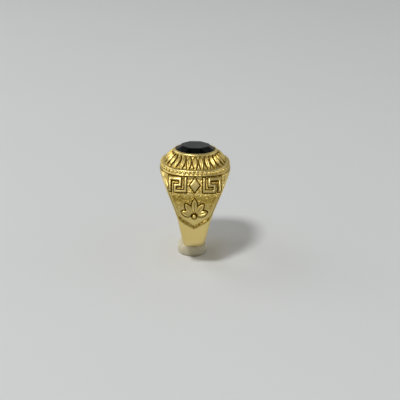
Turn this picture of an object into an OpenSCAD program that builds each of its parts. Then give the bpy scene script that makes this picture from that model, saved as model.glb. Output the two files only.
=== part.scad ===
/* [Finger hole] */
// Radius of the finger hole, in mm
bore_r = 9.9; // [9.7:0.05:10]

/* [Shank] */
// Thickness of the metal under the finger
shank_t = 1.3; // [1.2:0.05:1.6]
// Thickness of the metal beside the finger
side_t = 2.1; // [1.9:0.05:2.4]
// Width of the shank under the finger
shank_w = 5.2; // [4.5:0.1:6]
// Width of the ring beside the finger
side_w = 8.8; // [8:0.1:9.5]
// How square the shank's section is
shank_square = 8.5; // [6:0.1:10]

/* [Shoulders] */
// Height of the widest level above the centre of the finger hole
widest_z = 10; // [9.6:0.1:10.4]
// Width of the ring at its widest level
widest_w = 18; // [17:0.1:19]
// How square the ring is at its widest level
widest_square = 3; // [2.4:0.1:3.4]
// How far the sides of the shoulders hollow in
taper_power = 1.25; // [1:0.01:1.3]
// Radius of the curve that the shoulders follow, seen along the finger
shoulder_r = 17.7; // [16:0.1:20]

/* [Bezel] */
// Height of the rim above the centre of the finger hole
rim_z = 14.9; // [14.7:0.05:15.1]
// Width of the flat top of the rim round the stone
rim_w = 0.2; // [0.15:0.05:0.4]
// Width of the smooth border between the rim and the raised band
border_w = 0.35; // [0.35:0.05:0.5]
// How full the side of the bezel is
dome_power = 1.6; // [1.3:0.05:2]
// Number of leaves on the raised band
leaf_count = 28; // [24:4:32]
// Width of a leaf on the band
leaf_w = 1.15; // [1:0.05:1.3]
// Number of beads on the border under the band
bead_count = 52; // [52:4:56]
// Radius of a bead
bead_r = 0.38; // [0.36:0.02:0.38]

/* [Relief] */
// Depth of the recessed ground round the raised work
relief_h = 0.4; // [0.3:0.05:0.4]
// Width of one stroke of the key pattern
key_stroke = 0.66; // [0.54:0.01:0.66]
// Length of the middle leaf of the spray
spray_len = 4.6; // [3.8:0.1:4.8]
// Width of a leaf of the spray
spray_w = 1.55; // [1.2:0.05:1.6]
// Number of leaves in the spray
spray_count = 5; // [3:2:5]

/* [Stone] */
// Length of the stone, along the finger
stone_len = 10; // [9.5:0.1:10.2]
// Width of the stone, across the finger
stone_w = 8.2; // [7.8:0.1:8.4]
// Size of the flat table as a share of the stone
table_share = 0.72; // [0.6:0.01:0.8]
// Height of the crown above the girdle
crown_h = 1.2; // [0.8:0.05:1.4]
// Thickness of the girdle
girdle_t = 0.35; // [0.25:0.05:0.5]
// Depth of the back under the girdle
back_h = 0.8; // [0.6:0.05:1]
// Number of sides of the girdle
girdle_sides = 16; // [16:8:32]

/* [Putty stand] */
// Diameter of the dab of putty
dab_d = 7.7; // [7:0.1:9]
// Height of the dab
dab_h = 3.25; // [2.8:0.05:3.6]
// How far the dab sits to one side of the middle of the ring
dab_shift = -0.35; // [-0.6:0.05:0]
// How deep the shank is pressed into the dab
press_depth = 0.7; // [0.5:0.05:0.8]

/* [Hidden] */

// Clearance between pieces that touch
gap = 0.05;
// Sides of a loop round the ring, and steps along each stretch of it
loop_n = 48;
fold_steps = 7;
shoulder_steps = 5;
dome_steps = 5;

// The ring's outside is a stack of rounded loops, each with a half width
// along the finger, a half depth across it and a squareness
side_r = bore_r + side_t;
shank_r = bore_r + shank_t;
bore_z = dab_h - press_depth + shank_r;
widest_r = sqrt(pow(shoulder_r, 2) - pow(widest_z, 2)) - shoulder_r + side_r;
rim_in = gap + stone_len / 2;
seat_d = gap + stone_w / 2;
rim_half = rim_in + rim_w;
rim_depth = seat_d + rim_w;
girdle_z = rim_z - 0.2;
seat_z = girdle_z - girdle_t - back_h - gap;
bead_z = widest_z + 1.2;
band_z = bead_z + 0.5;
panel_top = bead_z - 0.55;
panel_foot = 0.1;
panel_tip = -2.4;
panel_w_top = widest_w / 2 - 0.75;
panel_w_foot = side_w / 2 - 0.6;
key_z = 7;
spray_z = 1;
spray_turn = 34;
knob_r = 0.6;
reach = 2 * widest_w;

function ease(t) = t * t * (3 - 2 * t);
function mix(a, b, t) = a + (b - a) * t;
function signed_power(v, p) = sign(v) * pow(abs(v), p);

// One loop, as half width, half depth, squareness, height and fold angle
function fold_loop(t) =
    [mix(side_w / 2, shank_w / 2, 1 - pow(1 - t, 2)),
     mix(side_r, shank_r, ease(t)), shank_square, 0, 90 * t];
function shoulder_loop(t) =
    [mix(side_w / 2, widest_w / 2, pow(t, taper_power)),
     sqrt(pow(shoulder_r, 2) - pow(t * widest_z, 2)) - shoulder_r + side_r,
     mix(shank_square, widest_square, pow(t, 2.5)), t * widest_z, 0];
function dome_loop(t) =
    [mix(widest_w / 2, rim_half, pow(t, dome_power)),
     mix(widest_r, rim_depth, pow(t, dome_power)),
     mix(widest_square, 2, sqrt(t)), mix(widest_z, rim_z, t), 0];
function all_loops() = concat(
    [for (i = [fold_steps:-1:1]) fold_loop(i / fold_steps)],
    [for (i = [0:shoulder_steps - 1]) shoulder_loop(i / shoulder_steps)],
    [for (i = [0:dome_steps]) dome_loop(i / dome_steps)]);

// A point of a loop, with the loop drawn in at its ends and at its faces:
// below the middle level the loop folds down round the finger, so that its
// front and back halves meet under it
function loop_point(s, a, ends, faces) =
    let (x = (s[0] - ends) * signed_power(cos(a), 2 / s[2]),
         y = (s[1] - faces) * signed_power(sin(a), 2 / s[2]))
    [x, y * cos(s[4]), s[3] - abs(y) * sin(s[4])];

// A point of a loop in the direction of an angle, which spaces points evenly
function even_point(s, a, inset) =
    let (far = pow(pow(abs(sin(a)), s[2]) + pow(abs(cos(a)), s[2]), -1 / s[2]))
    [(s[0] - inset) * sin(a) * far, -(s[1] - inset) * cos(a) * far, s[3]];

// Outside of the ring before the finger hole
module outer_form(ends = 0, faces = 0) {
    loops = all_loops();
    last = len(loops) - 1;
    points = concat(
        [for (s = loops) for (k = [0:loop_n - 1]) loop_point(s, 360 * k / loop_n, ends, faces)],
        [[0, 0, rim_z]]);
    walls = [for (i = [0:last - 1]) for (k = [0:loop_n - 1])
        let (a = i * loop_n + k, b = i * loop_n + (k + 1) % loop_n)
        each [[a, a + loop_n, b], [b, a + loop_n, b + loop_n]]];
    cap = [for (k = [0:loop_n - 1])
        [last * loop_n + k, len(points) - 1, last * loop_n + (k + 1) % loop_n]];
    polyhedron(points, concat(walls, cap));
}

// Pointed leaf along +Y from the origin
module leaf(len, width) {
    steps = 3;
    polygon([for (side = [-1, 1]) for (i = [0:steps - 1])
        let (t = (side < 0 ? i : steps - i) / steps)
        [side * width / 2 * sin(180 * t), len * t]]);
}

// Outline of the recessed panel on each shoulder, with its pointed foot
module panel_outline() {
    polygon([[-panel_w_top, panel_top], [-panel_w_foot, panel_foot], [0, panel_tip],
        [panel_w_foot, panel_foot], [panel_w_top, panel_top]]);
}

// One stroke of the key pattern between two places on its grid
module key_bar(from, to) {
    low = [min(from[0], to[0]), min(from[1], to[1])];
    high = [max(from[0], to[0]), max(from[1], to[1])];
    translate(low * key_stroke) square((high - low + [1, 1]) * key_stroke);
}

// Key pattern that runs out from the middle of the row to one side
module key_run() {
    path = [[3, 4], [3, 0], [7, 0], [7, 2], [5, 2], [5, 4], [9, 4], [9, 0]];
    for (i = [0:len(path) - 2]) key_bar(path[i], path[i + 1]);
}

// Row of the key pattern, mirrored about a lozenge
module key_row() {
    translate([0, key_z]) {
        for (side = [0, 1]) mirror([side, 0]) key_run();
        translate([0, 2.5 * key_stroke]) scale([0.8, 1]) circle(2.5 * key_stroke, $fn = 4);
    }
}

// Spray of leaves that fans out from its foot
module leaf_spray() {
    half = (spray_count - 1) / 2;
    translate([0, spray_z]) {
        for (i = [-half:half]) rotate(-spray_turn * i) translate([0, knob_r + 0.1])
            leaf(spray_len - 0.5 * abs(i) - knob_r - 0.1, spray_w);
        circle(knob_r, $fn = 12);
    }
}

// Leaves of the band, as seen from above: they fan out from the border round
// the stone to the edge of the band
module band_leaves() {
    s = dome_loop((band_z - widest_z) / (rim_z - widest_z));
    for (i = [0:leaf_count - 1])
        let (a = 360 * i / leaf_count,
             foot = [(rim_half + border_w + 0.1) * sin(a), -(rim_depth + border_w + 0.1) * cos(a)],
             tip = even_point(s, a, 0.1),
             run = [tip[0] - foot[0], tip[1] - foot[1]])
        translate(foot) rotate(atan2(run[1], run[0]) - 90) leaf(norm(run), leaf_w);
}

// Beads round the border under the band
module bead_border() {
    s = dome_loop((bead_z - widest_z) / (rim_z - widest_z));
    for (k = [0:bead_count - 1])
        translate(even_point(s, 360 * (k + 0.5) / bead_count, 0.1)) sphere(bead_r, $fn = 6);
}

// Hollow of the panels, round the key pattern and the spray
module panel_hollow() {
    difference() {
        rotate([90, 0, 0]) linear_extrude(reach, center = true) difference() {
            panel_outline();
            key_row();
            leaf_spray();
        }
        outer_form(0, relief_h);
    }
}

// Hollow of the band, round its leaves
module band_hollow() {
    difference() {
        translate([0, 0, band_z]) linear_extrude(reach) difference() {
            square(reach, center = true);
            scale([rim_half + border_w, rim_depth + border_w]) circle(1, $fn = loop_n);
            band_leaves();
        }
        outer_form(relief_h, relief_h);
    }
}

// Seat of the stone, cut down from the rim
module stone_seat() {
    translate([0, 0, seat_z]) linear_extrude(reach)
        scale([rim_in, seat_d]) circle(1, $fn = loop_n);
}

// The cast ring, brought to its full width along the finger
module ring_casting() {
    color("#c9ad5f") translate([0, 0, bore_z]) difference() {
        resize([widest_w, 0, 0]) difference() {
            union() {
                difference() {
                    outer_form();
                    panel_hollow();
                    band_hollow();
                }
                bead_border();
            }
            stone_seat();
        }
        rotate([0, 90, 0]) cylinder(r = bore_r, h = reach, center = true, $fn = 96);
    }
}

// Flat layer of the stone: a polygon with its corners on an oval
module stone_layer(share, sides, turn) {
    linear_extrude(0.001) scale([share * stone_len / 2, share * stone_w / 2])
        rotate(turn) circle(1, $fn = sides);
}

// Oval stone with an eight-sided table, crown facets, girdle and flat back
module onyx_stone() {
    color("#101214") translate([0, 0, bore_z + girdle_z]) hull() {
        translate([0, 0, crown_h]) stone_layer(table_share, girdle_sides / 2, 0);
        stone_layer(1, girdle_sides, 180 / girdle_sides);
        translate([0, 0, -girdle_t]) stone_layer(1, girdle_sides, 180 / girdle_sides);
        translate([0, 0, -girdle_t - back_h]) stone_layer(0.8, girdle_sides, 180 / girdle_sides);
    }
}

// Dab of putty, squeezed out round the foot of the shank
module putty_stand() {
    r = dab_d / 2;
    top_edge = 0.3 * dab_h;
    foot_edge = 0.06 * dab_h;
    color("#b9b4a4") difference() {
        translate([dab_shift, 0]) rotate_extrude($fn = 64) {
            square([r - top_edge, dab_h]);
            square([r - foot_edge, dab_h - top_edge]);
            translate([0, foot_edge]) square([r, dab_h - top_edge - foot_edge]);
            translate([r - top_edge, dab_h - top_edge]) circle(top_edge, $fn = 32);
            translate([r - foot_edge, foot_edge]) circle(foot_edge, $fn = 16);
        }
        intersection() {
            translate([0, 0, bore_z]) rotate([0, 90, 0])
                cylinder(r = shank_r + gap, h = 2 * dab_d, center = true, $fn = 96);
            cube([shank_w + 8 * gap, 2 * dab_d, 3 * dab_h], center = true);
        }
    }
}

ring_casting();
onyx_stone();
putty_stand();
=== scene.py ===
import math

import bmesh
import bpy
import numpy as np
from mathutils import Matrix, Vector


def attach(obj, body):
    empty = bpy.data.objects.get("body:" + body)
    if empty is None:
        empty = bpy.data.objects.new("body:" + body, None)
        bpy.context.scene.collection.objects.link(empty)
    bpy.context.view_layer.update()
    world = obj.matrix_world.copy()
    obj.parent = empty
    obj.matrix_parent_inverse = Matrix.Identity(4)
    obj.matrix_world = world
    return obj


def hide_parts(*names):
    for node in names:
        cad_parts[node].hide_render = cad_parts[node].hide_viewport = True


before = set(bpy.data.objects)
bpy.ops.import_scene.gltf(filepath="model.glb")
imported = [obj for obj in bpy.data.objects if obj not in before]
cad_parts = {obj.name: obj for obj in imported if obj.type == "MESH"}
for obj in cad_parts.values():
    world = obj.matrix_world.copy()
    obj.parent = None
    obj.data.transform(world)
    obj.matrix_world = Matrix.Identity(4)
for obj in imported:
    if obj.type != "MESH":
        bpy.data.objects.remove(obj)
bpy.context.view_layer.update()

MM = 0.001

# Sizes of the ring in mm, measured from the middle of the finger hole. Each loop round the
# ring has a half width along X, a half depth along Y, and a squareness, which is 2 for an oval
BORE_R = 9.9
SHANK_R = 11.2
SIDE_R = 12.0
SHANK_HALF = 2.6
SIDE_HALF = 4.4
SHANK_SQUARE = 8.5
WIDEST_Z = 10.0
WIDEST_HALF = 9.0
WIDEST_SQUARE = 3.0
TAPER_POWER = 1.25
SQUARE_POWER = 2.5
SHOULDER_R = 17.7
RIM_Z = 14.9
RIM_W = 0.2
OVAL = 2
DOME_POWER = 1.6
DOME_END = 0.985
SEAT_HALF = 5.05
SEAT_DEPTH = 4.15
SEAT_Z = 13.5
RIM_HALF = SEAT_HALF + RIM_W
RIM_DEPTH = SEAT_DEPTH + RIM_W
WIDEST_DEPTH = math.sqrt(SHOULDER_R ** 2 - WIDEST_Z ** 2) - SHOULDER_R + SIDE_R
FILLET = 0.25

# Way over the rounded rim and down into the seat: how far inwards and how far down
SEAT_DROP = RIM_Z - SEAT_Z
RIM_EDGE = [(0.03, 0.06), (0.07, 0.035), (0.11, 0.015), (0.15, 0.0), (0.18, 0.01),
            (RIM_W, 0.04), (RIM_W, 0.5), (RIM_W, SEAT_DROP), (1.5, SEAT_DROP)]

# Raised work round the stone: a smooth border, a band of leaves, then a row of beads in a
# channel, with a thin line under it. All that the beads change lies within their reach
RELIEF = 0.5
BORDER_W = 0.35
BORDER_SLOPE = 0.35
BEADS = 52
BEAD_R = 0.38
BEAD_SINK = 0.1
BEAD_Z = WIDEST_Z + 1.2
BEAD_REACH = 1.2
CHANNEL_W = 0.4
CHANNEL_DEEP = 0.16
LINE_Z = BEAD_Z - 0.62
LINE_W = 0.14
LINE_DEEP = 0.12
BAND_Z = BEAD_Z + 0.5
BAND_SLOPE = 0.8
BAND_GAP = 0.1
BAND_LEAVES = 28
BAND_LEAF_W = 1.15

# Shape of every leaf: how much of its width is rounded, and the crease along its middle
LEAF_ROUND = 0.4
CREASE_W = 0.1
CREASE_DEEP = 0.5
CREASE_FADE = 0.2

# Sunk panel on each shoulder, from its top down to its pointed foot, with a ridge along
# its sides, a key row over it and a spray of leaves on a knob below
PANEL_TOP = BEAD_Z - 0.55
PANEL_FOOT = 0.1
PANEL_TIP = -2.4
PANEL_HALF_TOP = WIDEST_HALF - 0.75
PANEL_HALF_FOOT = SIDE_HALF - 0.6
WALL = 0.16
FOOT_WALL = 0.8
RIDGE_IN = 0.1
RIDGE_FLANK = 0.4
RIDGE_DROP = 0.67
KEY_Z = 7.0
KEY_STROKE = 0.66
KEY_ROUND = 0.3
LOZENGE_SHARE = 0.8
SPRAY_Z = 1.0
SPRAY_FOOT = 0.7
SPRAY_LEN = 4.6
SPRAY_SHORTER = 0.5
SPRAY_W = 1.55
SPRAY_TURN = 34
SPRAY_LEAVES = 5
KNOB_R = 0.6
KNOB_ROUND = 0.5

# Corners of the key's path on a grid of squares one stroke wide, counted from the panel's
# middle and from the key's foot, and the rows of that grid
KEY_PATH = [(3, 4), (3, 0), (7, 0), (7, 2), (5, 2), (5, 4), (9, 4), (9, 0)]
KEY_ROWS = 5

# Fine work along the panel's outline: a groove on it and a crest outside its sides, which
# fade past its foot, a lip under its foot, a line of painted shade inside it that ends below
# the key row, and the slope down to its ground over its foot, with painted shade on it
GROOVE_DEEP = 0.08
GROOVE_W = 0.1
GROOVE_FOOT = PANEL_FOOT - 1
CREST_H = 0.1
CREST_OUT = 0.28
CREST_W = 0.13
CREST_FADE = 0.4
PAST_FOOT = 0.5
LIP_H = 0.03
LIP_OUT = 0.14
LIP_FADE = 0.2
EDGE_IN = 0.04
EDGE_W = 0.11
EDGE_TOP = PANEL_TOP - 3
EDGE_FADE = 2
EDGE_PAST_FOOT = 0.3
SLOPE_MIDDLE = -0.45 * FOOT_WALL
SLOPE_W = 0.48 * FOOT_WALL

# Matted ground, which is smoother towards the panel's foot
STIPPLE_H = 0.08
STIPPLE_SLOPE_H = 0.05
MATT_LEAST = 0.3
MATT_Z = 1.5
MATT_RISE = 3
# Depth of grain below which the pits get painted shade
PIT_SHADE_FROM = 0.15

# Painted shade of the recesses, from 0 to 1, and how wide and where it is: beside raised
# work, along the panel's outline, on its foot's slope, a painted shadow on a patch of ground
# under the key row, round the beads and in the line under them
PANEL_SHADE_W = 0.22
BAND_SHADE_W = 0.2
FLANK_POWER = 1.2
EDGE_DARK = 0.95
SLOPE_DARK = 0.46
SLOPE_MOTTLE = 0.4
PATCH_SHADOW = 0.42
PATCH_Z = 5.3
PATCH_W = 1.3
GAP_DARK = 0.55
GAP_OUT = 0.02
GAP_W = 0.1
DASH_DARK = 0.75
DASH_OUT = 0.2

# Stone: its outline, and its heights over and under the girdle
STONE_HALF = 5.0
STONE_DEPTH = 4.1
STONE_SIDES = 96
TABLE_SHARE = 0.72
TABLE_SIDES = 8
CROWN_H = 1.2
GIRDLE_T = 0.35
BACK_H = 0.8
BACK_SHARE = 0.8
GIRDLE_Z = RIM_Z - 0.2

# Worn edges of the stone: how wide, and from how many degrees of turn an edge is worn
WORN_W = 0.035
WORN_FROM = 8

# Putty: the dab, how uneven it is, and the groove that the shank presses into it
DAB_R = 3.85
DAB_H = 3.25
DAB_X = -0.35
DAB_COLUMNS = 128
DAB_WAVE = 0.012
DAB_RIPPLE = 0.006
DAB_DENT = 0.05
UNEVEN_FROM = 0.5
PRESS = 0.7
PRESS_GAP = 0.05
PRESS_BESIDE = 0.45
PRESS_SLOPE = 0.4
BORE_Z = DAB_H - PRESS + SHANK_R
STONE_Z = BORE_Z + GIRDLE_Z

# Side of the dab from its foot to its top, as shares of its radius and of its height, and
# the even rings that cover its top
DAB_SIDE = [(0.0, 0.0), (0.55, 0.0), (0.9, 0.0), (0.955, 0.02), (0.98, 0.08), (0.995, 0.2),
            (1.0, 0.34), (0.995, 0.5), (0.975, 0.68), (0.94, 0.83), (0.88, 0.94), (0.8, 1.0)]
DAB_TOP_RINGS = 22
DAB_TOP_OUTER = 0.76
DAB_TOP_INNER = 0.04

# How finely the casting is meshed: points in a quarter of a loop, mm between loops, degrees
# between the folded loops that are carved, and the few loops under them that are plain
QUARTER = 125
FINE = 0.11
FINE_FOLD = 0.62
PLAIN_LOOPS = 22
CARVED_BELOW_TIP = 0.6
FILLET_STEPS = 5
BORE_SHARES = (0.8, 0.5, 0.2, -0.2, -0.5, -0.8)

# Samples from which points are spaced evenly, and what is left of the points where the
# finger hole takes them away
LOOP_SAMPLES = 900
DOME_SAMPLES = 200
HOLE_MARGIN = 0.3
HOLE_WEIGHT = 0.12

# How points move onto outlines: the step that measures the slope of a distance, the share
# of the way to the next point that they may go, and the least and the greatest square of
# that slope at which they move
PROBE = 0.01
SLIDE_SHARE = 0.42
FLATTEST = 0.3
STEEPEST = 1.6

# Steps and areas under these count as nothing, in mm, and so do these gaps, in m
TINY_STEP = 1e-6
TINY_AREA = 1e-9
CUT_GAP = 1e-8
JOIN_GAP = 1e-7

# Camera: degrees, metres, and the picture's size in pixels and scale at the ring
CAMERA_RISE = 22
CAMERA_ROLL = 1.1
CAMERA_AWAY = 0.25
PHOTO_PX = 400
PX_PER_MM = 3.87

# Middle of the picture, in mm over the finger hole's middle, to its right and below
VIEW_OVER_BORE = 2
VIEW_RIGHT = 1.42
VIEW_BELOW = 1.14

# Floor, in mm
FLOOR_HALF = 6000


def smooth(t):
    """Soft step from 0 to 1 as t goes from 0 to 1."""
    t = np.clip(t, 0, 1)
    return t * t * (3 - 2 * t)


def mix(a, b, t):
    """Value the share t of the way from a to b."""
    return a + (b - a) * t


def dome(t):
    """Quarter of a round hump, from 0 at its foot to 1 at its top."""
    t = np.clip(t, 0, 1)
    return np.sqrt(t * (2 - t))


def soft_line(d, middle, width, power=2):
    """Line of height 1 that fades off on both sides of its middle, flat-topped from power 4."""
    return np.exp(-((d - middle) / width) ** power)


# Form of the ring: a stack of rounded loops, folded down under the finger


def fold_size(t):
    """Half, depth and squareness of the loop that is folded down by the share t."""
    half = mix(SIDE_HALF, SHANK_HALF, 1 - (1 - t) ** 2)
    return half, mix(SIDE_R, SHANK_R, smooth(t)), SHANK_SQUARE


def shoulder_size(z):
    """Half, depth and squareness of the loop at a height on the shoulders."""
    t = z / WIDEST_Z
    half = mix(SIDE_HALF, WIDEST_HALF, t ** TAPER_POWER)
    depth = math.sqrt(SHOULDER_R ** 2 - z * z) - SHOULDER_R + SIDE_R
    return half, depth, mix(SHANK_SQUARE, WIDEST_SQUARE, t ** SQUARE_POWER)


def dome_size(t):
    """Half, depth and squareness of the loop at the share t of the way up to the rim."""
    k = t ** DOME_POWER
    return (mix(WIDEST_HALF, RIM_HALF, k), mix(WIDEST_DEPTH, RIM_DEPTH, k),
            mix(WIDEST_SQUARE, OVAL, math.sqrt(t)))


def dome_share(z):
    """Share of the way up from the widest loop to the rim."""
    return (z - WIDEST_Z) / (RIM_Z - WIDEST_Z)


def even_steps(points, step):
    """Places along a run of points that lie about one step apart, from 0 to 1."""
    points = np.array(points)
    run = np.concatenate([[0], np.cumsum(np.linalg.norm(np.diff(points, axis=0), axis=1))])
    count = max(2, int(round(run[-1] / step)))
    return np.interp(np.linspace(0, run[-1], count + 1), run, np.linspace(0, 1, len(points)))


def ring_rows():
    """Loops from the bottom of the shank to the seat: half, depth, square, height, fold."""
    carved = math.asin((CARVED_BELOW_TIP - PANEL_TIP) / SIDE_R) / (math.pi / 2)
    plain_folds = np.linspace(1, carved, PLAIN_LOOPS)[:-1]
    carved_folds = np.linspace(carved, 0, int(carved * 90 / FINE_FOLD))[:-1]
    rows = [fold_size(t) + (0.0, t * math.pi / 2) for t in (*plain_folds, *carved_folds)]
    heights = np.linspace(0, WIDEST_Z, int(WIDEST_Z / FINE))[:-1]
    rows += [shoulder_size(z) + (z, 0.0) for z in heights]
    shares = np.linspace(0, DOME_END, DOME_SAMPLES)
    outline = [(dome_size(t)[0], mix(WIDEST_Z, RIM_Z, t)) for t in shares]
    for t in even_steps(outline, FINE) * DOME_END:
        rows.append(dome_size(t) + (mix(WIDEST_Z, RIM_Z, t), 0.0))
    for inwards, down in RIM_EDGE:
        rows.append((RIM_HALF - inwards, RIM_DEPTH - inwards, OVAL, RIM_Z - down, 0.0))
    return rows


def quarter_loop(half, depth, square, z):
    """Points of a quarter of a loop, few of them where the finger hole takes them away."""
    angles = np.linspace(0, math.pi / 2, LOOP_SAMPLES)
    x = half * np.cos(angles) ** (2 / square)
    y = depth * np.sin(angles) ** (2 / square)
    x[-1] = 0
    reach = np.hypot(y, z)[1:]
    weight = np.where(reach < BORE_R - HOLE_MARGIN, HOLE_WEIGHT, 1.0)
    run = np.concatenate([[0], np.cumsum(np.hypot(np.diff(x), np.diff(y)) * weight)])
    places = np.linspace(0, run[-1], QUARTER + 1)
    return np.interp(places, run, x), np.interp(places, run, y)


def ring_grid():
    """Points of every row of the outside, as an array of rows by columns by 3."""
    grid = []
    for half, depth, square, z, fold in ring_rows():
        x, y = quarter_loop(half, depth, square, z)
        xs = np.concatenate([x[:-1], -x[::-1][:-1], -x[:-1], x[::-1][:-1]])
        ys = np.concatenate([y[:-1], y[::-1][:-1], -y[:-1], -y[::-1][:-1]])
        grid.append(np.stack([xs, ys * math.cos(fold), z - np.abs(ys) * math.sin(fold)], 1))
    return np.array(grid)


def grid_normals(grid):
    """Directions out of the surface at every point of the grid."""
    along = np.roll(grid, -1, 1) - np.roll(grid, 1, 1)
    up = np.empty_like(grid)
    up[1:-1] = grid[2:] - grid[:-2]
    mirror = (-np.arange(grid.shape[1])) % grid.shape[1]
    up[0] = grid[1] - grid[1][mirror]
    up[-1] = grid[-1] - grid[-2]
    out = np.cross(along, up)
    return out / np.maximum(np.linalg.norm(out, axis=2, keepdims=True), TINY_AREA)


# Distances to the outlines of the raised work, negative inside


def box_distance(x, z, low, high):
    """Distance to an upright box between its low and its high corner."""
    dx = np.maximum(low[0] - x, x - high[0])
    dz = np.maximum(low[1] - z, z - high[1])
    outside = np.hypot(np.maximum(dx, 0), np.maximum(dz, 0))
    return outside + np.minimum(np.maximum(dx, dz), 0)


def edge_distance(x, z, a, b):
    """Distance from the line through a and b, positive on its right."""
    length = math.hypot(b[0] - a[0], b[1] - a[1])
    return ((x - a[0]) * (b[1] - a[1]) - (z - a[1]) * (b[0] - a[0])) / length


def even_point(half, depth, square, angle):
    """Point of a rounded loop in the direction of an angle, which spaces points evenly."""
    s, c = math.sin(angle), math.cos(angle)
    far = (abs(s) ** square + abs(c) ** square) ** (-1 / square)
    return s * far * half, -c * far * depth


def leaf_coordinates(x, y, foot, angle):
    """Place across and along a leaf on its foot, turned from the second axis by an angle."""
    c, s = math.cos(angle), math.sin(angle)
    dx, dy = x - foot[0], y - foot[1]
    return dx * c + dy * s, -dx * s + dy * c


def leaf_distance(across, along, length, width):
    """Distance to a leaf between two arcs that meet at its foot and at its tip."""
    radius = ((length / 2) ** 2 + (width / 2) ** 2) / width
    return np.hypot(np.abs(across) + radius - width / 2, along - length / 2) - radius


def panel_distances(x, z):
    """Distances to the panel's sides and top, and to its pointed foot."""
    ax = np.abs(x)
    side = edge_distance(ax, z, (PANEL_HALF_FOOT, PANEL_FOOT), (PANEL_HALF_TOP, PANEL_TOP))
    foot = edge_distance(ax, z, (0, PANEL_TIP), (PANEL_HALF_FOOT, PANEL_FOOT))
    return np.maximum(side, z - PANEL_TOP), foot


def key_distance(x, z):
    """Distance to the strokes of the key pattern and to the lozenge between them."""
    ax, kz = np.abs(x), z - KEY_Z
    half = KEY_ROWS / 2 * KEY_STROKE
    d = edge_distance(ax, np.abs(kz - half), (LOZENGE_SHARE * half, 0), (0, half))
    for a, b in zip(KEY_PATH, KEY_PATH[1:]):
        low = (min(a[0], b[0]) * KEY_STROKE, min(a[1], b[1]) * KEY_STROKE)
        high = ((max(a[0], b[0]) + 1) * KEY_STROKE, (max(a[1], b[1]) + 1) * KEY_STROKE)
        d = np.minimum(d, box_distance(ax, kz, low, high))
    return d


def spray_places(x, z):
    """For each leaf of the spray: place across it and its distance."""
    half = (SPRAY_LEAVES - 1) // 2
    places = []
    for i in range(-half, half + 1):
        angle = math.radians(-SPRAY_TURN * i)
        foot = (-math.sin(angle) * SPRAY_FOOT, SPRAY_Z + math.cos(angle) * SPRAY_FOOT)
        across, along = leaf_coordinates(x, z, foot, angle)
        length = SPRAY_LEN - SPRAY_SHORTER * abs(i) - SPRAY_FOOT
        places.append((across, leaf_distance(across, along, length, SPRAY_W)))
    return places


def band_places(x, y):
    """For each leaf of the band's right half: place across it and its distance."""
    half, depth, square = dome_size(dome_share(BAND_Z))
    border = BORDER_W + BAND_GAP
    places = []
    for i in range(BAND_LEAVES // 2 + 1):
        angle = math.tau * i / BAND_LEAVES
        foot = (math.sin(angle) * (RIM_HALF + border), -math.cos(angle) * (RIM_DEPTH + border))
        tip = even_point(half - BAND_GAP, depth - BAND_GAP, square, angle)
        turn = math.atan2(foot[0] - tip[0], tip[1] - foot[1])
        across, along = leaf_coordinates(np.abs(x), y, foot, turn)
        length = math.hypot(tip[0] - foot[0], tip[1] - foot[1])
        places.append((across, leaf_distance(across, along, length, BAND_LEAF_W)))
    return places


def border_distance(x, y):
    """Distance outwards from the smooth border round the stone."""
    a, b = RIM_HALF + BORDER_W, RIM_DEPTH + BORDER_W
    return (np.hypot(x / a, y / b) - 1) * (a + b) / 2


def bead_distance(p):
    """Distance to the nearest bead."""
    half, depth, square = dome_size(dome_share(BEAD_Z))
    beads = np.array([even_point(half - BEAD_SINK, depth - BEAD_SINK, square,
                                 math.tau * (k + 0.5) / BEADS) for k in range(BEADS)])
    far = np.sqrt((p[:, None, 0] - beads[:, 0]) ** 2 + (p[:, None, 1] - beads[:, 1]) ** 2
                  + (p[:, None, 2] - BEAD_Z) ** 2)
    return far.min(1) - BEAD_R


# Heights and shades of the raised work


def leaf_height(across, d, width):
    """Rounded leaf with a crease along its middle."""
    crease = soft_line(across, 0, CREASE_W) * np.clip(-d / CREASE_FADE, 0, 1)
    return dome(-d / (LEAF_ROUND * width)) * (1 - CREASE_DEEP * crease)


def ridge_height(side):
    """Ridge inside the panel's sides: highest beside them, and falling off inwards."""
    inwards = -(side + RIDGE_IN)
    flank = 1 - RIDGE_DROP * np.clip(inwards / RIDGE_FLANK, 0, 1)
    end = smooth(1 - (inwards - RIDGE_FLANK) / WALL)
    return flank * end * smooth(-(side + RIDGE_IN / 2) / (RIDGE_IN / 2))


def panel_relief(x, z):
    """Share sunk to the panel's ground, share raised from it and distance to raised work."""
    side, foot = panel_distances(x, z)
    sunk = smooth(-side / WALL) * smooth(-foot / FOOT_WALL)
    near = key_distance(x, z)
    raised = (1 - KEY_ROUND) * smooth(-near / WALL) + KEY_ROUND * dome(-near / (KEY_STROKE / 2))
    for across, d in spray_places(x, z):
        raised = np.maximum(raised, leaf_height(across, d, SPRAY_W))
        near = np.minimum(near, d)
    knob = np.hypot(x, z - SPRAY_Z) - KNOB_R
    raised = np.maximum(raised, np.sqrt(np.clip(-knob / KNOB_ROUND, 0, 1)))
    near = np.minimum(near, knob)
    return sunk, np.maximum(raised, ridge_height(side)), near


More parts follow.
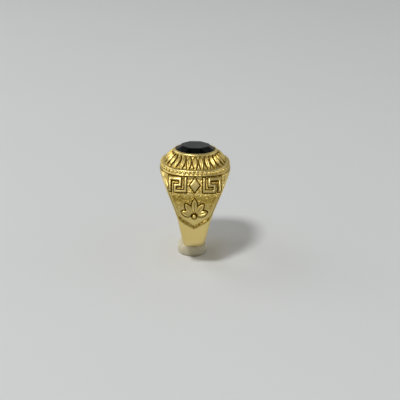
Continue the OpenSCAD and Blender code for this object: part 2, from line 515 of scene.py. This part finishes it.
def panel_trim(x, z, grain):
    """Height of the fine work along the panel's outline, and painted shade along it and on the
    foot's slope.
    """
    side, foot = panel_distances(x, z)
    above_foot = smooth(PAST_FOOT - foot)
    groove = GROOVE_DEEP * soft_line(side, 0, GROOVE_W) * above_foot
    groove = groove * (z > GROOVE_FOOT) * (z < PANEL_TOP)
    crest = CREST_H * soft_line(side, CREST_OUT, CREST_W) * above_foot
    crest = crest * smooth((PANEL_TOP - z) / CREST_FADE)
    lip = LIP_H * soft_line(foot, LIP_OUT, CREST_W) * smooth(-side / LIP_FADE)
    slope = soft_line(foot, SLOPE_MIDDLE, SLOPE_W, 4) * (side < 0)
    # Painted shade: a dark line just inside the panel's sides, fading out below the key row and
    # past the foot
    edge = EDGE_DARK * soft_line(side, -EDGE_IN, EDGE_W)
    edge = edge * smooth((EDGE_TOP - z) / EDGE_FADE) * smooth(EDGE_PAST_FOOT - foot)
    height = crest + lip - groove + STIPPLE_SLOPE_H * slope * grain
    # The darkness returned is painted shade: the line inside the sides and the mottled shade on
    # the foot's slope
    return height, np.maximum(edge, slope * (SLOPE_DARK - SLOPE_MOTTLE * grain))


def band_relief(x, y, z):
    """Share sunk to the band's ground, share raised from it and distance to raised work."""
    outside = border_distance(x, y)
    sunk = smooth(outside / BORDER_SLOPE) * smooth((z - BAND_Z + BAND_GAP) / BAND_SLOPE)
    raised = np.zeros(x.shape)
    near = np.full(x.shape, np.inf)
    for across, d in band_places(x, y):
        raised = np.maximum(raised, leaf_height(across, d, BAND_LEAF_W))
        near = np.minimum(near, d)
    return sunk, raised, near


def recess_shade(sunk, raised, near, width):
    """Painted shade in the corner beside raised work and on its lower flanks."""
    beside = soft_line(np.maximum(near, 0), 0, width, 3)
    return sunk * np.where(near > 0, beside, (1 - raised) ** FLANK_POWER)


def bent_wave(place, pace, bend, sway):
    """Wave along a direction, bent by a slower one that runs across it."""
    return np.sin(pace * place + bend * np.sin(sway))


def stipple(x, y, z):
    """Small uneven pits of the matted ground, from -1 to 1: bent waves that cross."""
    wide = bent_wave(x, pace=12.3, bend=2.1, sway=4.1 * z + 1.7 * y)
    high = bent_wave(z, pace=11.1, bend=2.3, sway=5.3 * x - 0.6)
    deep = bent_wave(y, pace=10.2, bend=2.0, sway=3.7 * z + 0.9 * x)
    return wide * high * 0.7 + wide * deep * 0.3


def set_beads(p, height, dark):
    """Sinks the channel and the line under it into the form, sets the beads in, and paints shade
    round the beads and in dashes along the line.
    """
    rows = np.abs(p[..., 2] - BEAD_Z) < BEAD_REACH
    p = p[rows]
    near = bead_distance(p)
    channel = soft_line(p[:, 2], BEAD_Z, CHANNEL_W, 4)
    line = soft_line(p[:, 2], LINE_Z, LINE_W)
    sunk = height[rows] - np.maximum(CHANNEL_DEEP * channel, LINE_DEEP * line)
    bead = np.sqrt(np.clip(BEAD_R ** 2 - (near + BEAD_R) ** 2, 0, None)) - BEAD_SINK
    height[rows] = np.where(near < 0, np.maximum(sunk, bead), sunk)
    # Painted shade in the gaps round the beads, and in dashes along the line under them
    gap = soft_line(near, GAP_OUT, GAP_W) * channel
    dash = line * smooth((near - DASH_OUT) / DASH_OUT)
    dark[rows] = np.maximum(dark[rows], np.maximum(DASH_DARK * dash, GAP_DARK * gap))


def relief(p):
    """Height over the plain form, share of matted ground and painted shade of the recesses."""
    x, y, z = p[..., 0], p[..., 1], p[..., 2]
    grain = stipple(x, y, z)
    height, dark = panel_trim(x, z, grain)
    sunk, raised, near = panel_relief(x, z)
    panel = sunk * (1 - raised)
    # Painted shade beside the key, the spray and the ridge
    dark = np.maximum(dark, recess_shade(sunk, raised, near, PANEL_SHADE_W))
    # Painted shadow on a patch of the panel's ground under the key row
    dark = np.maximum(dark, PATCH_SHADOW * panel * soft_line(z, PATCH_Z, PATCH_W))
    sunk, raised, near = band_relief(x, y, z)
    band = sunk * (1 - raised)
    # Painted shade beside the band's leaves
    dark = np.maximum(dark, recess_shade(sunk, raised, near, BAND_SHADE_W))
    matt = np.maximum(panel, band) * mix(MATT_LEAST, 1, smooth((z - MATT_Z) / MATT_RISE))
    height += STIPPLE_H * matt * grain - RELIEF * (panel + band)
    # Painted shade in the bottoms of the matted ground's pits
    dark = np.maximum(dark, matt * np.clip(-grain - PIT_SHADE_FROM, 0, 1))
    set_beads(p, height, dark)
    return height, matt, dark


# The casting's mesh


def slide(grid, normals, distance, levels, done):
    """Moves points that aren't done yet onto nearby level lines, so that walls run clean."""
    def measure(points):
        return distance(points[..., 0], points[..., 1], points[..., 2])

    across = np.roll(grid, -1, 1) - grid
    step_along = np.maximum(np.linalg.norm(across, axis=2), TINY_STEP)
    step_up = np.linalg.norm(np.diff(grid, axis=0, append=grid[-1:]), axis=2)
    along = across / step_along[..., None]
    up = np.cross(normals, along)
    d = measure(grid)
    slope_along = (measure(grid + PROBE * along) - d) / PROBE
    slope_up = (measure(grid + PROBE * up) - d) / PROBE
    steep = slope_along ** 2 + slope_up ** 2
    reach = SLIDE_SHARE * (np.abs(slope_along) * step_along + np.abs(slope_up) * step_up)
    for level in levels:
        miss = level - d
        pick = (np.abs(miss) < reach) & (steep > FLATTEST) & (steep < STEEPEST) & ~done
        pull = np.where(pick, miss / np.maximum(steep, FLATTEST), 0)[..., None]
        grid = grid + pull * (slope_along[..., None] * along + slope_up[..., None] * up)
        done |= pick
    return grid


def follow_outlines(grid, normals):
    """Grid with its points moved onto the outlines of the raised work."""
    def nearest(places):
        return np.min([d for _, d in places], axis=0)

    ridge_end = -RIDGE_IN - RIDGE_FLANK
    outlines = (
        (lambda x, y, z: panel_distances(x, z)[0], (0, -RIDGE_IN, ridge_end, ridge_end - WALL)),
        (lambda x, y, z: panel_distances(x, z)[1], (0, -FOOT_WALL)),
        (lambda x, y, z: key_distance(x, z), (0, -WALL)),
        (lambda x, y, z: nearest(spray_places(x, z)), (0,)),
        (lambda x, y, z: nearest(band_places(x, y)), (0,)),
        (lambda x, y, z: border_distance(x, y), (0,)),
    )
    done = np.zeros(grid.shape[:2], dtype=bool)
    for distance, levels in outlines:
        grid = slide(grid, normals, distance, levels, done)
    return grid


def side_reach(angle):
    """Half width of the ring along the edge of the finger hole."""
    sine, cosine = math.sin(angle), abs(math.cos(angle))
    if sine >= 0:
        half, depth, square = shoulder_size(BORE_R * sine)
        share = BORE_R * cosine / depth
    else:
        half, depth, square = fold_size(abs(math.asin(sine)) / (math.pi / 2))
        share = BORE_R / depth
    return half * (1 - share ** square) ** (1 / square)


def point_numbers(rows, columns):
    """Numbers of a grid's points, row by row."""
    return np.arange(rows * columns).reshape(rows, columns)


def grid_faces(numbers):
    """Quads between the rows of a grid of points, each of which runs round."""
    low, high = numbers[:-1], numbers[1:]
    quads = np.stack([low, np.roll(low, -1, 1), np.roll(high, -1, 1), high], 2)
    return quads.reshape(-1, 4)


def cut_hole(points, quads, radius):
    """Takes away what lies within the radius of the finger's axis. Gives the cut's points."""
    over = np.hypot(points[:, 1], points[:, 2]) - radius
    inside = (over < 0)[quads].sum(1)
    faces = quads[inside == 0].tolist()
    points = points.tolist()
    made = {}

    def between(a, b):
        """Number of the point where an edge of the mesh meets the cut."""
        key = (a, b) if a < b else (b, a)
        if key not in made:
            t = over[key[0]] / (over[key[0]] - over[key[1]])
            x, y, z = (mix(u, v, t) for u, v in zip(points[key[0]], points[key[1]]))
            scale = radius / math.hypot(y, z)
            made[key] = len(points)
            points.append([x, y * scale, z * scale])
        return made[key]

    for quad in quads[(inside > 0) & (inside < 4)].tolist():
        face = []
        for a, b in zip(quad, quad[1:] + quad[:1]):
            if over[a] >= 0:
                face.append(a)
            if (over[a] >= 0) != (over[b] >= 0):
                face.append(between(a, b))
        if len(set(face)) > 2:
            faces.append(list(dict.fromkeys(face)))
    return points, faces, sorted(made.values())


def line_hole(points, faces, rim):
    """Builds the wall of the finger hole between the two cut edges, with rounded edges."""
    def angle_of(number):
        return math.atan2(points[number][2], points[number][1])

    right = sorted([i for i in rim if points[i][0] > 0], key=angle_of)
    left = sorted([i for i in rim if points[i][0] < 0], key=angle_of)
    assert len(right) == len(left)
    strips = []
    for start, end in zip(right, left):
        angle = angle_of(start)
        corner = side_reach(angle)
        flat = corner - FILLET
        bend = []
        for step in range(1, FILLET_STEPS + 1):
            t = step / FILLET_STEPS
            x = (1 - t) ** 2 * points[start][0] + 2 * t * (1 - t) * corner + t * t * flat
            bend.append((x, BORE_R + (1 - t) ** 2 * FILLET))
        wall = [(flat * share, BORE_R) for share in BORE_SHARES]
        strip = [start]
        for x, radius in bend + wall + [(-x, radius) for x, radius in reversed(bend)]:
            strip.append(len(points))
            points.append([x, radius * math.cos(angle), radius * math.sin(angle)])
        strips.append(strip + [end])
    for a, b in zip(strips, strips[1:] + strips[:1]):
        for i in range(len(a) - 1):
            faces.append([a[i], a[i + 1], b[i + 1], b[i]])


def new_object(name, points, faces, lift=0.0):
    """Mesh object from points in mm, raised by a lift."""
    mesh = bpy.data.meshes.new(name)
    points = np.array(points, dtype=float)
    points[:, 2] += lift
    mesh.from_pydata((points * MM).tolist(), [], faces)
    mesh.update()
    obj = bpy.data.objects.new(name, mesh)
    bpy.context.scene.collection.objects.link(obj)
    return obj


def clean_mesh(obj, join=0.0):
    """Joins points closer than join, drops loose points and turns every face outwards."""
    bm = bmesh.new()
    bm.from_mesh(obj.data)
    if join:
        bmesh.ops.remove_doubles(bm, verts=bm.verts, dist=join)
    bmesh.ops.delete(bm, geom=[v for v in bm.verts if not v.link_faces], context="VERTS")
    bmesh.ops.recalc_face_normals(bm, faces=bm.faces)
    bm.to_mesh(obj.data)
    bm.free()


def build_casting():
    """The ring: its carved outside, the finger hole through it and the floor of its seat."""
    grid = ring_grid()
    normals = grid_normals(grid)
    grid = follow_outlines(grid, normals)
    height, ground, painted_shade = relief(grid)
    for values in (height, ground, painted_shade):
        values[-len(RIM_EDGE):] = 0
    points = (grid + normals * height[..., None]).reshape(-1, 3)
    # The lowest loop is folded flat, so its two halves share their points
    rows, columns = height.shape
    numbers = point_numbers(rows, columns)
    numbers[0] = np.minimum(numbers[0], -numbers[0] % columns)
    last_row = numbers[-1].tolist()
    points, faces, rim = cut_hole(points, grid_faces(numbers), BORE_R + FILLET)
    middle = len(points)
    points.append([0, 0, SEAT_Z])
    faces += [[a, b, middle] for a, b in zip(last_row, last_row[1:] + last_row[:1])]
    line_hole(points, faces, rim)
    obj = new_object("ring_body", points, faces, BORE_Z)
    # Share of matted ground and painted shade at each point, for the gold's material
    for name, values in (("ground", ground), ("painted_shade", painted_shade)):
        shade = np.zeros(len(points), dtype=np.float32)
        shade[:rows * columns] = values.reshape(-1)
        obj.data.attributes.new(name, "FLOAT", "POINT").data.foreach_set("value", shade)
    clean_mesh(obj)
    obj.data.shade_smooth()
    return obj


# The stone


def oval_point(share, angle, z):
    """Point at a share of the stone's outline, at a height over its girdle."""
    return Vector((share * STONE_HALF * math.cos(angle), share * STONE_DEPTH * math.sin(angle), z))


def crown_facets():
    """Three points of each crown facet, two facets for every side of the table."""
    side = math.tau / TABLE_SIDES
    for j in range(TABLE_SIDES):
        corner = side * (j + 0.5)
        table = oval_point(TABLE_SHARE, corner, CROWN_H)
        next_table = oval_point(TABLE_SHARE, corner + side, CROWN_H)
        before = oval_point(1, corner - side / 4, 0)
        after = oval_point(1, corner + side / 4, 0)
        yield table, before, after
        yield table, after, next_table


def cut_facet(bm, a, b, c):
    """Cuts off what lies above the plane through three points, and closes the cut."""
    normal = (b - a).cross(c - a).normalized()
    if normal.z < 0:
        normal.negate()
    cut = bmesh.ops.bisect_plane(bm, geom=bm.verts[:] + bm.edges[:] + bm.faces[:],
                                 plane_co=a, plane_no=normal, clear_outer=True, dist=CUT_GAP)
    edge_loop = [e for e in cut["geom_cut"] if isinstance(e, bmesh.types.BMEdge)]
    bmesh.ops.contextual_create(bm, geom=edge_loop)


def build_stone():
    """Oval block with a round girdle, cut down by the planes of its crown facets."""
    levels = ((BACK_SHARE, -GIRDLE_T - BACK_H), (1, -GIRDLE_T), (1, CROWN_H))
    points = [oval_point(share, math.tau * i / STONE_SIDES, z)
              for share, z in levels for i in range(STONE_SIDES)]
    numbers = point_numbers(len(levels), STONE_SIDES)
    faces = grid_faces(numbers).tolist() + [numbers[0][::-1].tolist(), numbers[-1].tolist()]
    obj = new_object("onyx_gem", points, faces, STONE_Z)
    bm = bmesh.new()
    bm.from_mesh(obj.data)
    for corners in crown_facets():
        cut_facet(bm, *((corner + Vector((0, 0, STONE_Z))) * MM for corner in corners))
    bmesh.ops.recalc_face_normals(bm, faces=bm.faces)
    bm.to_mesh(obj.data)
    bm.free()
    bevel = obj.modifiers.new("worn_edges", "BEVEL")
    bevel.width = WORN_W * MM
    bevel.segments = 2
    bevel.limit_method = "ANGLE"
    bevel.angle_limit = math.radians(WORN_FROM)
    return obj


# The dab of putty


def dab_point(share, level, angle):
    """Point of the dab at a share of its uneven radius and a level of its height."""
    wave = 1 + math.sin(3 * angle + 1.1)
    ripple = 1 + math.sin(7 * angle)
    uneven = 1 - DAB_WAVE * wave - DAB_RIPPLE * ripple
    radius = DAB_R * share * (uneven if share > UNEVEN_FROM else 1)
    x, y = radius * math.cos(angle), radius * math.sin(angle)
    z = DAB_H * level
    if level == 1:
        dent = 1 + math.sin(2.3 * x + 0.8) * math.sin(2.1 * y)
        z -= DAB_DENT * dent * (1 - share)
        groove = BORE_Z - math.sqrt((SHANK_R + PRESS_GAP) ** 2 - y * y)
        pressed = smooth((SHANK_HALF + PRESS_BESIDE - abs(x + DAB_X)) / PRESS_SLOPE)
        z = mix(z, min(z, groove), pressed)
    return x + DAB_X, y, z


def build_putty():
    """Squeezed dab: a flat foot, a bulging side, and lips beside the shank."""
    rings = np.linspace(DAB_TOP_OUTER, DAB_TOP_INNER, DAB_TOP_RINGS)
    profile = DAB_SIDE + [(share, 1.0) for share in rings] + [(0.0, 1.0)]
    points = [dab_point(share, level, math.tau * k / DAB_COLUMNS)
              for share, level in profile for k in range(DAB_COLUMNS)]
    faces = grid_faces(point_numbers(len(profile), DAB_COLUMNS)).tolist()
    obj = new_object("putty_dab", points, faces)
    clean_mesh(obj, join=JOIN_GAP)
    obj.data.shade_smooth()
    return obj


# Nodes of materials and of the world

# Sockets of the Mix node that carry its factor, its two colours and the result
MIX_FACTOR = 0
MIX_FIRST = 6
MIX_SECOND = 7
MIX_RESULT = 2

# Values that most of a noise lies between
NOISE_LOW = 0.3
NOISE_HIGH = 0.7


def grey(level):
    return level, level, level, 1


def new_material(name):
    """Material, its node tree and its shader."""
    mat = bpy.data.materials.new(name)
    mat.use_nodes = True
    return mat, mat.node_tree, mat.node_tree.nodes["Principled BSDF"]


def fill_inputs(tree, node, inputs):
    """Links sockets to a node's inputs, and sets its other inputs to plain values."""
    for key, value in inputs.items():
        if isinstance(value, bpy.types.NodeSocket):
            tree.links.new(value, node.inputs[key])
        else:
            node.inputs[key].default_value = value


def add_node(tree, kind, inputs=None, **settings):
    node = tree.nodes.new(kind)
    for key, value in settings.items():
        setattr(node, key, value)
    fill_inputs(tree, node, inputs or {})
    return node


def object_place(tree):
    """Place of a point in the object, in metres."""
    return add_node(tree, "ShaderNodeTexCoord").outputs["Object"]


def object_noise(tree, scale, detail, roughness=0.5):
    """Cloudy noise through the object, scaled by the metre."""
    inputs = {"Vector": object_place(tree), "Scale": scale, "Detail": detail,
              "Roughness": roughness}
    return add_node(tree, "ShaderNodeTexNoise", inputs).outputs["Fac"]


def point_value(tree, name):
    """Value that the mesh holds at each of its points."""
    return add_node(tree, "ShaderNodeAttribute", attribute_name=name).outputs["Fac"]


def stretch(tree, value, low, high, to_low=0.0, to_high=1.0):
    """Turns values from low to high into values from to_low to to_high."""
    inputs = {"Value": value, "From Min": low, "From Max": high, "To Min": to_low,
              "To Max": to_high}
    return add_node(tree, "ShaderNodeMapRange", inputs).outputs["Result"]


def combine(tree, operation, first, second, use_clamp=False):
    """Product, greater one or other result of two values."""
    return add_node(tree, "ShaderNodeMath", {0: first, 1: second}, operation=operation,
                    use_clamp=use_clamp).outputs[0]


def mix_colours(tree, factor, first, second, blend_type="MIX"):
    """Colour between two, or another blend of them."""
    inputs = {MIX_FACTOR: factor, MIX_FIRST: first, MIX_SECOND: second}
    return add_node(tree, "ShaderNodeMix", inputs, data_type="RGBA",
                    blend_type=blend_type).outputs[MIX_RESULT]


def colour_ramp(tree, value, stops):
    """Colours that follow a value from stop to stop."""
    node = add_node(tree, "ShaderNodeValToRGB", {"Fac": value})
    elements = node.color_ramp.elements
    for i, (place, colour) in enumerate(stops):
        stop = elements[i] if i < len(elements) else elements.new(place)
        stop.position = place
        stop.color = colour
    return node.outputs["Color"]


def bumps(tree, height, strength, distance, **normal):
    """Bumps as high as distance, in mm, over an earlier normal where one is given."""
    inputs = {"Height": height, "Strength": strength, "Distance": distance * MM, **normal}
    return add_node(tree, "ShaderNodeBump", inputs).outputs["Normal"]


# Materials

GOLD_DEEP = (0.78, 0.615, 0.215, 1)
GOLD_PALE = (0.87, 0.70, 0.295, 1)
STONE_BLACK = (0.0005, 0.0006, 0.0009, 1)
STONE_HAZE = (0.034, 0.039, 0.035, 1)
PUTTY_DEEP = (0.79, 0.655, 0.42, 1)
PUTTY_PALE = (0.85, 0.71, 0.47, 1)
FLOOR_DEEP = (0.69, 0.705, 0.70, 1)
FLOOR_PALE = (0.72, 0.73, 0.725, 1)

# Tint of the gold from clean to the darkest recess, for the stains and the painted shade
SHADE_AND_STAIN = ((0.0, grey(1.0)), (0.35, (0.685, 0.625, 0.38, 1)), (0.65, (0.235, 0.15, 0.025, 1)),
           (0.9, (0.014, 0.004, 0.0, 1)))


def gold_material():
    """Cast gold: uneven yellow, painted shade from brown to black in the recesses, stained and
    pitted on the ground.
    """
    mat, tree, shader = new_material("cast_gold")
    ground = point_value(tree, "ground")
    blotches = object_noise(tree, scale=260.0, detail=3.0)
    tint = mix_colours(tree, blotches, GOLD_DEEP, GOLD_PALE)
    dust = object_noise(tree, scale=1500.0, detail=2.0)
    uneven = stretch(tree, dust, NOISE_LOW, NOISE_HIGH, to_low=0.8, to_high=1.15)
    # Painted shade in the recesses, made uneven by a fine noise
    painted_recess_shade = combine(tree, "MULTIPLY", point_value(tree, "painted_shade"), uneven, use_clamp=True)
    clouds = object_noise(tree, scale=700.0, detail=3.0, roughness=0.65)
    stain = stretch(tree, clouds, low=0.47, high=0.68, to_high=0.55)
    stained = combine(tree, "MULTIPLY", stain, ground)
    # Tint from the painted shade and from the cloudy stains on the ground, whichever is darker
    shade = colour_ramp(tree, combine(tree, "MAXIMUM", painted_recess_shade, stained), SHADE_AND_STAIN)
    peel = object_noise(tree, scale=520.0, detail=4.0, roughness=0.55)
    skin = bumps(tree, peel, strength=0.3, distance=0.1)
    pits = add_node(tree, "ShaderNodeTexVoronoi", {"Vector": object_place(tree),
                    "Scale": 2600.0}).outputs["Distance"]
    on_ground = combine(tree, "MULTIPLY", pits, ground)
    pitted = bumps(tree, on_ground, strength=0.8, distance=0.12, Normal=skin)
    fill_inputs(tree, shader, {
        "Base Color": mix_colours(tree, 1.0, tint, shade, "MULTIPLY"),
        "Metallic": 1.0,
        "Roughness": stretch(tree, ground, 0.0, 1.0, to_low=0.36, to_high=0.45),
        "Normal": pitted,
    })
    return mat


def onyx_material():
    """Black polished stone, with a worn haze on the flat table."""
    mat, tree, shader = new_material("black_onyx")
    place = add_node(tree, "ShaderNodeSeparateXYZ", {0: object_place(tree)})
    top = STONE_Z + CROWN_H
    table = stretch(tree, place.outputs["Z"], (top - 0.04) * MM, (top - 0.01) * MM)
    clouds = object_noise(tree, scale=420.0, detail=5.0, roughness=0.6)
    haze = stretch(tree, clouds, NOISE_LOW, NOISE_HIGH, to_low=0.5)
    worn = combine(tree, "MULTIPLY", table, haze)
    fill_inputs(tree, shader, {
        "Base Color": mix_colours(tree, worn, STONE_BLACK, STONE_HAZE),
        "Roughness": stretch(tree, worn, 0.0, 1.0, to_low=0.04, to_high=0.2),
        "IOR": 1.24,
    })
    return mat


def putty_material():
    """Clear putty that light passes into, cloudy and a little dented."""
    mat, tree, shader = new_material("clear_putty")
    clouds = object_noise(tree, scale=420.0, detail=4.0)
    dents = object_noise(tree, scale=900.0, detail=4.0)
    fill_inputs(tree, shader, {
        "Base Color": mix_colours(tree, clouds, PUTTY_DEEP, PUTTY_PALE),
        "Roughness": 0.38,
        "IOR": 1.45,
        "Subsurface Weight": 1.0,
        "Subsurface Radius": (1.0, 0.95, 0.9),
        "Subsurface Scale": 0.008,
        "Transmission Weight": 0.18,
        "Normal": bumps(tree, dents, strength=0.35, distance=0.12),
    })
    return mat


def floor_material():
    mat, tree, shader = new_material("pale_floor")
    clouds = object_noise(tree, scale=9.0, detail=4.0)
    fill_inputs(tree, shader, {
        "Base Color": mix_colours(tree, clouds, FLOOR_DEEP, FLOOR_PALE),
        "Roughness": 0.75,
    })
    return mat


# Stage

# Brightness of the world, by height from the horizon to straight up, by depth from behind
# the camera to behind the ring, and from left to right
WORLD_BY_HEIGHT = ((0.0, (0.54, 0.55, 0.555, 1)), (0.5, grey(0.58)), (0.74, grey(0.45)),
                   (0.85, grey(0.08)), (0.93, grey(0.05)), (1.0, grey(0.4)))
WORLD_BY_DEPTH = ((0.08, grey(0.24)), (0.38, grey(1.1)), (0.66, grey(1.1)), (0.8, grey(0.6)),
                  (0.96, grey(0.56)))
WORLD_LEFT = 1.28
WORLD_RIGHT = 1.25


def build_floor():
    corners = [(-1, -1, 0), (1, -1, 0), (1, 1, 0), (-1, 1, 0)]
    floor = new_object("floor", np.array(corners) * FLOOR_HALF, [(0, 1, 2, 3)])
    floor.data.materials.append(floor_material())


def aim(obj, target, roll=0.0):
    """Turns a camera or light towards a point, and rolls it."""
    way = Vector(target) - obj.location
    turn = way.to_track_quat("-Z", "Y").to_matrix() @ Matrix.Rotation(roll, 3, "Z")
    obj.rotation_euler = turn.to_euler()


def add_light(name, place, target, size, power):
    """Round soft light, with places and size in metres and power in watts."""
    data = bpy.data.lights.new(name, "AREA")
    data.shape = "DISK"
    data.size = size
    data.energy = power
    light = bpy.data.objects.new(name, data)
    light.location = place
    bpy.context.scene.collection.objects.link(light)
    aim(light, target)


def build_world():
    """Pale walls up to a dark ceiling, dim behind the camera and bright beside the ring."""
    world = bpy.data.worlds.new("studio")
    bpy.context.scene.world = world
    world.use_nodes = True
    tree = world.node_tree
    sky = add_node(tree, "ShaderNodeTexCoord").outputs["Generated"]
    way = add_node(tree, "ShaderNodeSeparateXYZ", {0: sky}).outputs
    by_depth = colour_ramp(tree, stretch(tree, way["Y"], -1.0, 1.0), WORLD_BY_DEPTH)
    by_side = stretch(tree, way["X"], -1.0, 1.0, to_low=WORLD_LEFT, to_high=WORLD_RIGHT)
    fill_inputs(tree, tree.nodes["Background"], {
        "Color": colour_ramp(tree, way["Z"], WORLD_BY_HEIGHT),
        "Strength": combine(tree, "MULTIPLY", by_depth, by_side),
    })


def build_camera():
    """Camera at the photograph's angle and scale."""
    rise = math.radians(CAMERA_RISE)
    middle = Vector((0, 0, (BORE_Z + VIEW_OVER_BORE) * MM))
    data = bpy.data.cameras.new("camera")
    data.angle = 2 * math.atan(PHOTO_PX / 2 / PX_PER_MM * MM / CAMERA_AWAY)
    camera = bpy.data.objects.new("camera", data)
    bpy.context.scene.collection.objects.link(camera)
    camera.location = middle + CAMERA_AWAY * Vector((0, -math.cos(rise), math.sin(rise)))
    target = middle + Vector((VIEW_RIGHT * MM, 0, -VIEW_BELOW * MM / math.cos(rise)))
    aim(camera, target, math.radians(CAMERA_ROLL))
    bpy.context.scene.camera = camera


def dress(obj, material, node):
    """Gives a piece its material and its place in the frame."""
    obj.data.materials.append(material)
    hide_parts(node)
    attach(obj, "root")


build_camera()
dress(build_casting(), gold_material(), "ring_casting")
dress(build_stone(), onyx_material(), "onyx_stone")
dress(build_putty(), putty_material(), "putty_stand")
build_floor()
build_world()
add_light("key", place=(-0.41, -0.63, 1.18), target=(0, 0, 0.01), size=0.27, power=9.3)
add_light("window", place=(-0.45, 0.2, 0.35), target=(0, 0, 0.015), size=0.35, power=0.4)
bpy.context.scene.view_settings.view_transform = "Standard"
